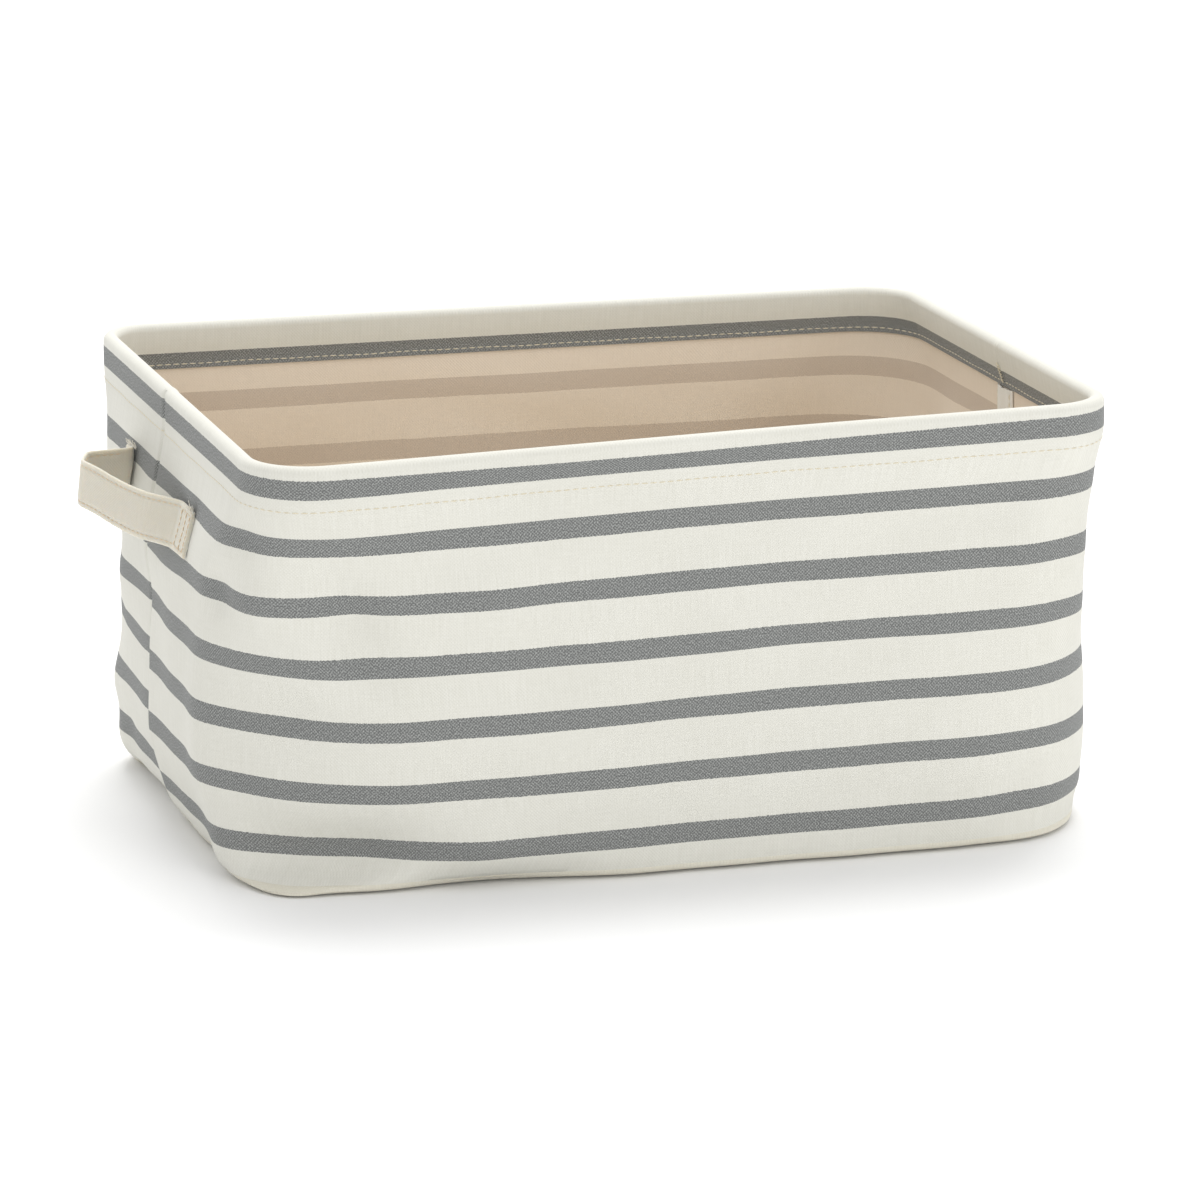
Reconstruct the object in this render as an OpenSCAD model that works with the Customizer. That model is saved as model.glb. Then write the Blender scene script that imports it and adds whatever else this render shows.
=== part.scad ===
// Striped canvas storage bin with a wire rim and two sewn strap handles.
// Millimetres. +Z is up, X runs along the long side, and the origin is the
// middle of the underside.

/* [Bin] */
// Outside length at the rim
bin_length = 400; // [300:5:500]
// Outside width at the rim
bin_width = 300; // [240:5:400]
// Height of the rim above the floor
bin_height = 200; // [180:5:300]
// Plan radius of the rim's corners
corner_r = 30; // [28:1:60]
// How much the base is smaller than the rim, on each side
base_inset = 5; // [0:0.5:8]

/* [Canvas] */
// Thickness of the coated canvas
cloth = 1.1; // [0.8:0.1:1.4]
// Depth of the hem that is folded over the wire
hem_depth = 22; // [20:1:30]
// Drop of the hem's stitching below the rim
hem_stitch_drop = 19; // [16:1:19]
// Width of the allowances turned in at the seams
seam_allowance = 10; // [6:1:12]

/* [Rim wire] */
// Diameter of the steel wire
wire_d = 3.6; // [3:0.1:3.6]
// Length of the crimp sleeve that closes the wire
ferrule_length = 30; // [20:1:50]

/* [Handles] */
// Width of the strap, which stands on edge
strap_width = 23; // [18:1:28]
// Thickness of the folded strap
strap_t = 2.2; // [1.6:0.1:2.6]
// Height of the strap's middle above the floor
strap_z = 151.5; // [140:0.5:153]
// Half of the open span between the sewn ends
strap_half_span = 39; // [34:0.5:50]
// Length of each end that is sewn flat to the wall
strap_end = 17; // [12:1:24]
// How far the loop stands out from the wall
loop_reach = 34; // [27:0.5:40]
// Sideways lean of the loop along the wall
loop_lean = 18; // [0:1:19]

/* [Stitching] */
// Thickness of the sewing thread
thread_d = 0.7; // [0.5:0.1:0.9]

/* [Hidden] */
$fn = 48;
gap = 0.3;                 // space between pieces that move apart
touch = 0.05;              // space between a thread and the cloth it lies on
roll_r = 3.5;              // outer radius of the hem's fold over the wire
tape_t = 0.6;              // thickness of the cotton seam tape
tape_width = 20;
ferrule_wall = 0.4;
wire_gap = 1;              // space between the wire's two ends
loop_steps = 36;           // straight pieces along the loop's plan curve
loop_fullness = 0.6;       // below 1 the loop leaves the wall squarely
stitch_inset = 2.5;        // from a strap edge to its stitching

half_l = bin_length / 2;
half_w = bin_width / 2;
hem_z = bin_height - hem_depth;
hem_flap = 2 * cloth + 0.15;       // inner face of the flap, inside the outer face
stitch_z = bin_height - hem_stitch_drop;
roll_z = bin_height - roll_r;
roll_c = corner_r - roll_r;
hem_row_z = stitch_z - 1;          // middle of the hem's stitching
groove = [thread_d + 2 * touch, thread_d - 0.1]; // height and depth of its groove
lean = base_inset / hem_z;
base_r = corner_r - base_inset;
tape_z = 2 * cloth + touch;
tape_top = tape_z + tape_t;
pivot_u = strap_width / 2 + 0.5;   // loop axis, outwards from the wall
strap_x = half_l + gap;            // inner face of the sewn strap ends
canvas = [0.93, 0.91, 0.86];
lining = [0.87, 0.79, 0.69];
tape_white = [0.94, 0.93, 0.9];
thread_cream = [0.88, 0.82, 0.7];
thread_tan = [0.8, 0.66, 0.46];
steel = [0.72, 0.73, 0.74];

// ---- shapes shared by several pieces ----

// One straight side of the rounded rectangle: the section's x is the distance
// outwards from the corner centres, and its y is the height.
module side_run(length) {
    rotate([90, 0, 0]) linear_extrude(length, center = true) children();
}

// A section carried round one end of the bin, from the cut at y = 0 to the
// middle of the long side: half an end, a corner and half a long side.
module quarter_run() {
    cx = half_l - corner_r;
    cy = half_w - corner_r;
    translate([cx, -cy / 2, 0]) side_run(cy) children();
    translate([cx, -cy, 0]) rotate([0, 0, -90]) rotate_extrude(angle = 90) children();
    translate([cx / 2, -cy, 0]) rotate([0, 0, -90]) side_run(cx) children();
}

// A section carried round the front half of the bin.
module front_run() {
    quarter_run() children();
    mirror([1, 0, 0]) quarter_run() children();
}

// A section carried round the back half of the bin.
module back_run() {
    rotate([0, 0, 180]) front_run() children();
}

// Layer of the leaning wall between two heights, starting some way inside
// the outer face.
module wall_layer(z0, z1, inside, thickness) {
    out0 = base_r + lean * z0 - inside;
    out1 = base_r + lean * z1 - inside;
    polygon([[out0, z0], [out1, z1], [out1 - thickness, z1], [out0 - thickness, z0]]);
}

// Rounded rectangle plate at the size of the base.
module base_plate(inset, thickness) {
    cx = half_l - corner_r;
    cy = half_w - corner_r;
    r = base_r - inset;
    linear_extrude(thickness) union() {
        square([2 * (cx + r), 2 * cy], center = true);
        square([2 * cx, 2 * (cy + r)], center = true);
        for (sx = [-1, 1], sy = [-1, 1]) translate([sx * cx, sy * cy]) circle(r);
    }
}

// ---- canvas and seams of the bin ----

// Wall section with the allowance turned in along the bottom.
module wall_section() {
    wall_layer(cloth, hem_z - gap, 0, cloth);
    translate([base_r - cloth - seam_allowance, cloth]) square([seam_allowance, cloth]);
}

// Allowance of one panel, turned back along the inside of the right side seam.
module side_allowance() {
    translate([half_l - corner_r, -seam_allowance / 2, 0])
        side_run(seam_allowance) wall_layer(tape_top + touch, hem_z - gap, cloth, cloth);
}

module panel_half() {
    front_run() wall_section();
    side_allowance();
    mirror([1, 0, 0]) side_allowance();
}

module front_panel() {
    color(canvas) panel_half();
}

module back_panel() {
    color(canvas) rotate([0, 0, 180]) panel_half();
}

module bottom_panel() {
    color(lining) base_plate(0, cloth);
}

// Tape over the allowances of the right side seam.
module seam_tape() {
    color(tape_white) translate([half_l - corner_r, 0, 0])
        side_run(tape_width)
            wall_layer(tape_top + touch, hem_z - gap, 2 * cloth + touch, tape_t);
}

module right_seam_tape() {
    seam_tape();
}

module left_seam_tape() {
    rotate([0, 0, 180]) seam_tape();
}

// Tape round the floor of the bin, over the bottom allowances.
module bottom_seam_tape() {
    outer = cloth + touch;
    color(tape_white) translate([0, 0, tape_z]) difference() {
        base_plate(outer, tape_t);
        translate([0, 0, -1]) base_plate(outer + seam_allowance + 2, tape_t + 2);
    }
}

// Two rows of stitching up the tape of the right side seam.
module seam_thread() {
    z0 = 6;
    inside = 2 * cloth + tape_t + 3 * touch;
    color(thread_cream) for (s = [-1, 1])
        translate([half_l - corner_r, s * (tape_width / 2 - 1.5), 0])
            side_run(thread_d) wall_layer(z0, hem_z - 1, inside, thread_d);
}

module right_seam_thread() {
    seam_thread();
}

module left_seam_thread() {
    rotate([0, 0, 180]) seam_thread();
}

// Row of stitching round the tape on the floor.
module bottom_seam_thread() {
    row = base_r - cloth - seam_allowance / 2;
    color(thread_cream) for (turn = [0, 180])
        rotate([0, 0, turn]) front_run()
            translate([row, tape_top + touch + thread_d / 2]) circle(d = thread_d, $fn = 16);
}

// ---- rim ----

// Cloth folded over the wire: outer layer, half-round fold and inner flap.
module hem_section() {
    difference() {
        translate([corner_r - cloth, hem_z]) square([cloth, roll_z - hem_z]);
        translate([corner_r - groove[1], hem_row_z - groove[0] / 2])
            square([2 * groove[1], groove[0]]);
    }
    intersection() {
        translate([roll_c, roll_z]) difference() {
            circle(roll_r);
            circle(roll_r - cloth);
        }
        translate([roll_c - 2 * roll_r, roll_z]) square([4 * roll_r, 2 * roll_r]);
    }
    polygon([
        [corner_r - hem_flap, hem_z],
        [corner_r - hem_flap + cloth, hem_z],
        [corner_r - hem_flap + cloth, stitch_z],
        [roll_c - roll_r + cloth, roll_z],
        [roll_c - roll_r, roll_z],
        [corner_r - hem_flap, stitch_z]
    ]);
}

module front_hem() {
    color(canvas) front_run() hem_section();
}

module back_hem() {
    color(canvas) back_run() hem_section();
}

// Steel wire ring, whose two ends meet in the middle of the back.
module rim_wire() {
    color(steel) difference() {
        for (turn = [0, 180]) rotate([0, 0, turn]) front_run()
            translate([roll_c, roll_z]) circle(d = wire_d);
        translate([0, half_w - roll_r, roll_z])
            cube([wire_gap, 3 * roll_r, 3 * roll_r], center = true);
    }
}

// Sleeve crimped over the wire's two ends.
module wire_ferrule() {
    bore = wire_d + 2 * touch;
    color(steel) translate([0, half_w - roll_r, roll_z]) rotate([0, 90, 0]) difference() {
        cylinder(h = ferrule_length, d = bore + 2 * ferrule_wall, center = true);
        cylinder(h = ferrule_length + 2, d = bore, center = true);
    }
}

// Topstitching of the hem: one thread outside, sunk in the cloth, and one
// inside.
module hem_thread() {
    outside = corner_r - groove[1] + touch + thread_d / 2;
    inside = corner_r - hem_flap - touch - thread_d / 2;
    color(thread_cream) for (turn = [0, 180], row = [outside, inside])
        rotate([0, 0, turn]) front_run()
            translate([row, hem_row_z]) circle(d = thread_d, $fn = 16);
}

// ---- handles ----
// A handle is drawn with u outwards from the wall along X, y along the wall
// and the strap's middle at z = 0. Side is 1 on the right and -1 on the left.

module on_wall(side) {
    rotate([0, 0, side > 0 ? 0 : 180]) translate([strap_x, 0, strap_z]) children();
}

// Point of the loop's plan curve, for t from 0 to 1.
function bow(t, half_span, reach) = [
    reach * pow(sin(180 * t), loop_fullness),
    -half_span * cos(180 * t) - loop_lean * pow(sin(180 * t), 2)
];

module bow_area(half_span, reach) {
    polygon([for (i = [0 : loop_steps]) bow(i / loop_steps, half_span, reach)]);
}

// Band that follows the loop's curve, grown outwards from its own outer face.
module bow_band(grow, thickness, width) {
    span = strap_half_span - 2 * touch - thread_d + grow;
    reach = loop_reach - thread_d + grow;
    linear_extrude(width, center = true) difference() {
        bow_area(span, reach);
        bow_area(span - thickness, reach - thickness);
    }
}

// Space where the swinging loop may be: round its axis, and beyond it.
module swing_room() {
    reach = 3 * loop_reach;
    translate([pivot_u, 0, 0]) rotate([90, 0, 0])
        cylinder(h = 4 * strap_half_span, d = strap_width, center = true);
    translate([pivot_u + reach / 2, 0, 0])
        cube([reach, 4 * strap_half_span, 2 * strap_width], center = true);
}

// Sewn end of the strap, with the root that stands out from the wall and
// ends in a half round about the loop's axis.
module strap_end_piece(s) {
    y0 = strap_half_span + gap;
    translate([strap_t / 2, s * (y0 + strap_end / 2), 0])
        cube([strap_t, strap_end, strap_width], center = true);
    translate([0, s * (y0 + strap_t / 2), 0]) rotate([90, 0, 0])
        linear_extrude(strap_t, center = true) {
            translate([0, -strap_width / 2]) square([pivot_u, strap_width]);
            translate([pivot_u, 0]) circle(d = strap_width);
        }
}

module strap_ends(side) {
    color(canvas) on_wall(side) for (s = [-1, 1]) strap_end_piece(s);
}

// Two rows across each sewn end and one along each of its long edges.
module strap_stitches(side) {
    u = strap_t + touch + thread_d / 2;
    row_y = [strap_half_span + gap + strap_t + 1.5, strap_half_span + strap_end - 2];
    edge_z = strap_width / 2 - stitch_inset;
    across = 2 * edge_z - 2 * thread_d;
    along = row_y[1] - row_y[0] - 2 * thread_d;
    color(thread_tan) on_wall(side) for (s = [-1, 1]) {
        for (y = row_y) translate([u, s * y, 0])
            cylinder(h = across, d = thread_d, center = true, $fn = 16);
        for (z = [-edge_z, edge_z]) translate([u, s * (row_y[0] + row_y[1]) / 2, z])
            rotate([90, 0, 0]) cylinder(h = along, d = thread_d, center = true, $fn = 16);
    }
}

module strap_loop(side) {
    color(canvas) on_wall(side) intersection() {
        bow_band(0, strap_t, strap_width);
        swing_room();
    }
}

// Stitching along both edges of the loop.
module loop_thread(side) {
    edge_z = strap_width / 2 - stitch_inset;
    color(thread_tan) on_wall(side) for (z = [-edge_z, edge_z])
        intersection() {
            translate([0, 0, z]) bow_band(touch + thread_d / 2, thread_d / 2, thread_d);
            translate([pivot_u, -strap_half_span, -strap_width])
                cube([2 * loop_reach, 2 * strap_half_span, 2 * strap_width]);
        }
}

module left_strap_ends() {
    strap_ends(-1);
}

module left_strap_stitches() {
    strap_stitches(-1);
}

module left_strap_loop() {
    strap_loop(-1);
}

module left_loop_thread() {
    loop_thread(-1);
}

module right_strap_ends() {
    strap_ends(1);
}

module right_strap_stitches() {
    strap_stitches(1);
}

module right_strap_loop() {
    strap_loop(1);
}

module right_loop_thread() {
    loop_thread(1);
}

front_panel();
back_panel();
bottom_panel();
left_seam_tape();
right_seam_tape();
bottom_seam_tape();
left_seam_thread();
right_seam_thread();
bottom_seam_thread();
front_hem();
back_hem();
rim_wire();
wire_ferrule();
hem_thread();
left_strap_ends();
left_strap_stitches();
left_strap_loop();
left_loop_thread();
right_strap_ends();
right_strap_stitches();
right_strap_loop();
right_loop_thread();
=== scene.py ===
import math

import bmesh
import bpy
import numpy as np
from mathutils import Matrix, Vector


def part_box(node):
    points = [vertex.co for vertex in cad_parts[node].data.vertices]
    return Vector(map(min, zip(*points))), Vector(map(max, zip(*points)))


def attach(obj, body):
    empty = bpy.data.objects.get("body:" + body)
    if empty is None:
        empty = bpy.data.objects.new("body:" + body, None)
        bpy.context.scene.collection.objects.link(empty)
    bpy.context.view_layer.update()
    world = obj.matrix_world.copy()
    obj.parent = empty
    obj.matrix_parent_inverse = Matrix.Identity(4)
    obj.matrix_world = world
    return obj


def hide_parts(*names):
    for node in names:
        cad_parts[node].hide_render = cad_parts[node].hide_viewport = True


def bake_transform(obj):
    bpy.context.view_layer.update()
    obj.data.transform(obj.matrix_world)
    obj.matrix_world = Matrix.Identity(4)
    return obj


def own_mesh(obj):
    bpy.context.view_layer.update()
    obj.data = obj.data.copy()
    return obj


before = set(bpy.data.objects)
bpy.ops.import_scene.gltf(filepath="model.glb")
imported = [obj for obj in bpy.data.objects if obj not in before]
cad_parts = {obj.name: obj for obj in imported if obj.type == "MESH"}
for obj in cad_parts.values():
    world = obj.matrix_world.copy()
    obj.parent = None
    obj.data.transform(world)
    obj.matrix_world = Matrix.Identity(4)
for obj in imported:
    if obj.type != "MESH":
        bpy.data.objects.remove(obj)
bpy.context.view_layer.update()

# Looks of the striped canvas storage bin. Shapes are worked out in millimetres
# and become metres when a mesh is made. A place on the cloth is given by its
# share of the way round the bin, from the left seam over the front, and by
# its height on the cloth.

MM = 0.001


def box_mm(node):
    """Lowest and highest corner of a CAD node, in millimetres."""
    low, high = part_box(node)
    return np.array(low) / MM, np.array(high) / MM


# ---- sizes taken from the frame ----

HEM_LOW, HEM_HIGH = box_mm("front_hem")
WIRE_LOW, WIRE_HIGH = box_mm("rim_wire")
SLEEVE_LOW, SLEEVE_HIGH = box_mm("wire_ferrule")
ENDS_LOW, ENDS_HIGH = box_mm("right_strap_ends")

HALF_L = HEM_HIGH[0]
HALF_W = -HEM_LOW[1]
RIM_Z = HEM_HIGH[2]
HEM_Z = HEM_LOW[2]
CLOTH = box_mm("bottom_panel")[1][2]
WIRE_Z = (WIRE_LOW[2] + WIRE_HIGH[2]) / 2
WIRE_R = (WIRE_HIGH[2] - WIRE_LOW[2]) / 2
ROLL_R = RIM_Z - WIRE_Z
SLEEVE_HALF = (SLEEVE_HIGH[0] - SLEEVE_LOW[0]) / 2
SLEEVE_R = (SLEEVE_HIGH[2] - SLEEVE_LOW[2]) / 2
HEM_ROW_Z = sum(box[2] for box in box_mm("hem_thread")) / 2
STRAP_Z = (ENDS_LOW[2] + ENDS_HIGH[2]) / 2
STRAP_WIDTH = 0.92 * (ENDS_HIGH[2] - ENDS_LOW[2])
STRAP_HALF_LENGTH = ENDS_HIGH[1]
TAPE_HALF = box_mm("right_seam_tape")[1][1]

# ---- design values ----

RIM_CORNER_R = 30
PERIMETER = 4 * (HALF_L + HALF_W) - (8 - 2 * math.pi) * RIM_CORNER_R
TWIST = 2.6                 # how far the rim's corners stand above and below its middle
SEAM_DRIFT = (14, 16)       # place of the left seam behind the middle, at the floor and at the rim
FLAP_RISE = (0, 3, 8)       # heights over the hem's stitches at which its inner flap has these depths
FLAP_DEPTHS = (2 * CLOTH + 0.15, 3.2, 5.2)
WALL_DEPTH = 0.1            # the wall's outer face lies this far inside the hem's
TONGUE = 12                 # how far the wall's cloth reaches up inside the hem
BASE_SEAM_Z = 4.4           # the wall is sewn to the bottom a little above the floor
STRIPE_PITCH = 28.5
STRIPE_WIDTH = 9.2
STRIPE_TOP = 190.4          # height of the first stripe's middle
STRAP_T = 2.3
STRAP_GAP = 0.45            # the strap's sewn ends stand this far off the wall
STRAP_ROW_INSET = 2.4       # from the strap's edge to its stitches
TAPE_T = 0.6
TAPE_DEPTH = 0.4            # depth of a side tape's underside, beyond the cloth's thickness
SEED = 7

# Outline of the wall at ten heights: height, how far the left, right, front
# and back stand outside the rim, and the radii of the front left, front right,
# back right and back left corners.
STATIONS = np.array([
    (0, -4, -8, -2, -4, 30, 46, 46, 34),
    (9, 0.5, -0.5, -1, -2.5, 78, 68, 68, 50),
    (19, 4, 4, 0, -1, 97, 73, 72, 54),
    (48, 10.5, 3, 0.5, 0, 89, 69, 68, 68),
    (76, 10.5, 1, -0.5, 0, 87, 63, 64, 78),
    (105, 10.5, -1, -2.5, -1, 75, 54, 58, 88),
    (133, 9, -3, -3.5, -2, 67, 51, 52, 62),
    (162, 4, -1, -4.5, -3, 47, 39, 44, 45),
    (188, 0, 0, 0, 0, 32, 30, 30, 23),
    (RIM_Z, 0, 0, 0, 0, 32, 30, 30, 23),
], float)

# Dents in the cloth: distance of the middle round the bin from the left seam,
# and its height, half length and half width, tilt of the length in degrees, and
# depth inwards. A negative depth is a swelling.
DENTS = [
    (385, 105, 60, 110, 0, 3.2),        # long hollow right of the middle of the front
    (184, 126, 28, 15, -60, 9.5),       # pinch beside the front left corner, and the swell round it
    (184, 176, 40, 20, 0, -3.6),
    (310, 172, 60, 22, 0, 2.2),
    (244, 128, 24, 18, 0, -4.2),
    (148, 84, 18, 22, 0, 3.2),
    (280, 60, 42, 28, 0, -3.4),
    (98, 62, 16, 30, 0, -3.2),          # front left corner
    (112, 134, 11, 12, 0, 4.0),
    (140, 134, 12, 12, 0, -3.5),
    (133, 164, 12, 10, 0, 3.5),
    (178, 15, 38, 17, 0, 11.0),         # tuck at the foot of the front left corner
    (110, 15, 20, 18, 0, -7.5),
    (234, 20, 14, 16, 0, -3.0),
    (498, 34, 20, 24, 0, 3.6),          # front right corner
    (500, 132, 26, 16, 0, -3.6),
    (536, 126, 16, 30, 0, -5.0),
    (-10, 112, 34, 16, 0, 3.0),         # left end, below the handle
    (-72, 80, 36, 30, 0, 5.5),          # back part of the left end
    (-75, 124, 36, 14, 0, 5.0),
    (-55, 40, 40, 22, 0, 4.5),
    (-88, 26, 26, 12, 0, 4.5),
    (-75, 0, 60, 8, 0, 6.0),
    (245, 0, 46, 10, 0, 12.5),          # foot of the front, left of its middle
    (170, 0, 20, 8, 0, 5.0),
    (582, 121, 36, 13, 0, 5.5),         # notch at the front right corner
]

# How far the back wall is set in at the left seam, at some heights.
LAP = np.array([(0, 3), (60, 3.5), (90, 1), (120, 0), (RIM_Z, 0)], float)

# How much higher the back wall's stripes sit at the left seam, at some heights.
SLIP = np.array([(0, 5), (19, 5), (48, 6.4), (76, 5.5), (105, 1.4), (133, 0), (RIM_Z, 0)], float)
SLIP_REACH = 260            # the stripes are level again this far from the seam

RIPPLES = (95, 80, 64, 52, 41, 33)      # wavelengths of the small ripples all over the cloth
RIPPLE_SHARE = 0.006                    # height of a ripple, as a share of its wavelength


# ---- shape of the cloth ----

def smooth_curve(x, knots, values):
    """Values at x on curves through the knots that never overshoot them."""
    rise = np.diff(values, axis=0) / np.diff(knots)[:, None]
    before, after = rise[:-1], rise[1:]
    total = np.where(before * after > 0, before + after, 1)
    slope = np.zeros_like(values)
    slope[1:-1] = np.where(before * after > 0, 2 * before * after / total, 0)
    i = np.clip(np.searchsorted(knots, x, side="right") - 1, 0, len(knots) - 2)
    width = (knots[i + 1] - knots[i])[..., None]
    t = np.clip((np.asarray(x) - knots[i])[..., None] / width, 0, 1)
    start = values[i] * (1 + 2 * t) + slope[i] * width * t
    end = values[i + 1] * (3 - 2 * t) - slope[i + 1] * width * (1 - t)
    return start * (1 - t) ** 2 + end * t ** 2


def smooth_step(x):
    x = np.clip(x, 0, 1)
    return x * x * (3 - 2 * x)


def quadrant(share, start, half_x, half_y, radius):
    """Points from the middle of an end, at y = start, round the corner to the middle of a long side."""
    straight = half_y - radius - start
    arc = math.pi / 2 * radius
    way = share * (straight + arc + half_x - radius)
    angle = np.clip((way - straight) / radius, 0, math.pi / 2)
    x = half_x - radius * (1 - np.cos(angle)) - np.maximum(way - straight - arc, 0)
    y = np.minimum(start + way, half_y - radius) + radius * np.sin(angle)
    return x, y


def outline(place, height):
    """Plan position of the cloth's outer face, before its dents."""
    place = np.asarray(place, float) % 1
    station = smooth_curve(np.clip(height, 0, RIM_Z), STATIONS[:, 0], STATIONS[:, 1:])
    left, right, front, back, fl, fr, br, bl = np.moveaxis(station, -1, 0)
    drift = SEAM_DRIFT[0] + (SEAM_DRIFT[1] - SEAM_DRIFT[0]) * height / RIM_Z
    turn = 4 * place
    corners = [
        (turn, -drift, HALF_L + left, HALF_W + front, fl, -1, -1),
        (2 - turn, 0, HALF_L + right, HALF_W + front, fr, 1, -1),
        (turn - 2, 0, HALF_L + right, HALF_W + back, br, 1, 1),
        (4 - turn, drift, HALF_L + left, HALF_W + back, bl, -1, 1),
    ]
    x = np.zeros(np.broadcast(turn, left).shape)
    y = np.zeros_like(x)
    for number, (share, start, half_x, half_y, radius, sx, sy) in enumerate(corners):
        here = np.floor(turn) == number
        px, py = quadrant(share, start, half_x, half_y, radius)
        x = np.where(here, sx * px, x)
        y = np.where(here, sy * py, y)
    return x, y


def inward(place, height):
    """Level unit vector pointing into the bin."""
    step = 0.0005
    x0, y0 = outline(place - step, height)
    x1, y1 = outline(place + step, height)
    length = np.hypot(x1 - x0, y1 - y0)
    return (y0 - y1) / length, (x1 - x0) / length


def seam_distance(place):
    """Distance along the cloth from the nearer side seam."""
    return np.abs((place * 2 + 0.5) % 1 - 0.5) / 2 * PERIMETER


def dents(place, height):
    """Depth of the dents, folds and seam grooves at a place on the cloth."""
    around = (place % 1) * PERIMETER
    depth = np.zeros(np.broadcast(around, height).shape)
    for middle, level, length, width, tilt, deep in DENTS:
        along = (around - middle + PERIMETER / 2) % PERIMETER - PERIMETER / 2
        up = height - level
        c, s = math.cos(math.radians(tilt)), math.sin(math.radians(tilt))
        lengthways = (along * c + up * s) / length
        crossways = (up * c - along * s) / width
        depth = depth + deep * np.exp(-lengthways ** 2 - crossways ** 2)
    random = np.random.default_rng(SEED)
    free = smooth_step((HEM_Z + 6 - height) / 40)
    for wavelength in RIPPLES:
        angle, phase = random.uniform(0, 2 * math.pi, 2)
        wave = ripple(around, height, wavelength, angle, phase)
        depth = depth + RIPPLE_SHARE * wavelength * wave * free
    seam_half_width = 1.8
    groove = 1.2 * np.exp(-(seam_distance(place) / seam_half_width) ** 2)
    lap_fade = 28
    behind = (around + PERIMETER / 2) % PERIMETER - PERIMETER / 2
    fade = np.where(behind < 0, np.exp(behind / lap_fade), np.exp(-(behind / seam_half_width) ** 2))
    return depth + groove + fade * np.interp(height, LAP[:, 0], LAP[:, 1])


def ripple(around, height, wavelength, angle, phase):
    """A wave across the cloth that closes on itself round the bin."""
    count = round(PERIMETER / wavelength * math.cos(angle))
    turns = count * around / PERIMETER + height / wavelength * math.sin(angle)
    return np.sin(2 * math.pi * turns + phase)


def slip(place, height):
    """How far the stripes of the back wall sit above those of the front wall."""
    from_left_seam = (1 - place % 1) * PERIMETER
    back = place % 1 > 0.5
    rise = np.interp(height, SLIP[:, 0], SLIP[:, 1])
    return np.where(back, rise * (1 - smooth_step(from_left_seam / SLIP_REACH)), 0)


def rolled(place, up):
    """How far the upper edge of the first stripe is rolled over onto the wire, along the front."""
    middle, reach, lift = 310, 130, 2.5
    around = place % 1 * PERIMETER
    share = np.exp(-((around - middle) / reach) ** 2)
    stripe_only = smooth_step((up - 186) / 8) * (1 - smooth_step((up - 197) / 6))
    return lift * share * stripe_only


def cloth_point(place, height, depth=0.0):
    """Point of the cloth, some depth inside its outer face."""
    place, height, depth = np.broadcast_arrays(np.asarray(place, float), height, depth)
    x, y = outline(place, height)
    nx, ny = inward(place, height)
    inside = depth + dents(place, height)
    x = x + nx * inside
    y = y + ny * inside
    z = height - TWIST * (x / HALF_L) * (y / HALF_W) * height / RIM_Z
    return np.stack([x, y, z], -1)


# ---- meshes ----

def new_object(name, vertices, faces, uv, materials, slots):
    """An object from vertices and a UV map in millimetres, and a material slot for each face."""
    mesh = bpy.data.meshes.new(name)
    mesh.from_pydata((np.asarray(vertices) * MM).tolist(), [], faces)
    layer = mesh.uv_layers.new(name="cloth")
    corner = np.zeros(len(mesh.loops), np.int64)
    mesh.loops.foreach_get("vertex_index", corner)
    layer.data.foreach_set("uv", (np.asarray(uv)[corner] * MM).astype(np.float32).ravel())
    for material in materials:
        mesh.materials.append(material)
    mesh.polygons.foreach_set("material_index", np.asarray(slots, np.int32))
    mesh.polygons.foreach_set("use_smooth", np.ones(len(faces), bool))
    work = bmesh.new()
    work.from_mesh(mesh)
    bmesh.ops.recalc_face_normals(work, faces=work.faces)
    work.to_mesh(mesh)
    work.free()
    mesh.set_sharp_from_angle(angle=math.radians(50))
    made = bpy.data.objects.new(name, mesh)
    bpy.context.scene.collection.objects.link(made)
    return made


def sweep(name, rings, uv, materials, slots=None, closed=False):
    """A solid through a row of rings. slots holds the material slot of each side of a ring."""
    count, sides = rings.shape[:2]
    runs = count if closed else count - 1
    faces = []
    face_slots = []
    for i in range(runs):
        a, b = i * sides, (i + 1) % count * sides
        for j in range(sides):
            k = (j + 1) % sides
            faces.append((a + j, a + k, b + k, b + j))
            face_slots.append(slots[j] if slots else 0)
    if not closed:
        faces.append(tuple(range(sides)))
        faces.append(tuple(range((count - 1) * sides, count * sides)))
        face_slots += [0, 0]
    return new_object(name, rings.reshape(-1, 3), faces, uv.reshape(-1, 2), materials, face_slots)


def tube_rings(path, radii, sides):
    """Rings of a tube along a path of points."""
    ahead = np.gradient(path, axis=0)
    ahead /= np.linalg.norm(ahead, axis=1)[:, None]
    guide = np.array([0, 0, 1.0]) if abs(ahead[0][2]) < 0.8 else np.array([1.0, 0.3, 0])
    side = np.cross(ahead, guide)
    side /= np.linalg.norm(side, axis=1)[:, None]
    up = np.cross(side, ahead)
    turn = np.linspace(0, 2 * math.pi, sides, endpoint=False)
    ring = side[:, None] * np.cos(turn)[:, None] + up[:, None] * np.sin(turn)[:, None]
    return path[:, None] + ring * np.asarray(radii)[:, None, None]


def tubes(name, paths, radii, material, sides=6):
    """One object of many separate tubes, such as the stitches of a seam."""
    vertices, faces, uv = [], [], []
    for path, radius in zip(paths, radii):
        first = len(vertices)
        rings = tube_rings(np.asarray(path), radius, sides)
        count = len(rings)
        way = way_along(path)
        vertices.extend(rings.reshape(-1, 3))
        uv.extend((way[i], 2.0 * j / sides) for i in range(count) for j in range(sides))
        for i in range(count - 1):
            a = first + i * sides
            for j in range(sides):
                k = (j + 1) % sides
                faces.append((a + j, a + k, a + sides + k, a + sides + j))
        faces.append(tuple(range(first, first + sides)))
        faces.append(tuple(range(first + (count - 1) * sides, first + count * sides)))
    return new_object(name, vertices, faces, uv, [material], [0] * len(faces))


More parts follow.
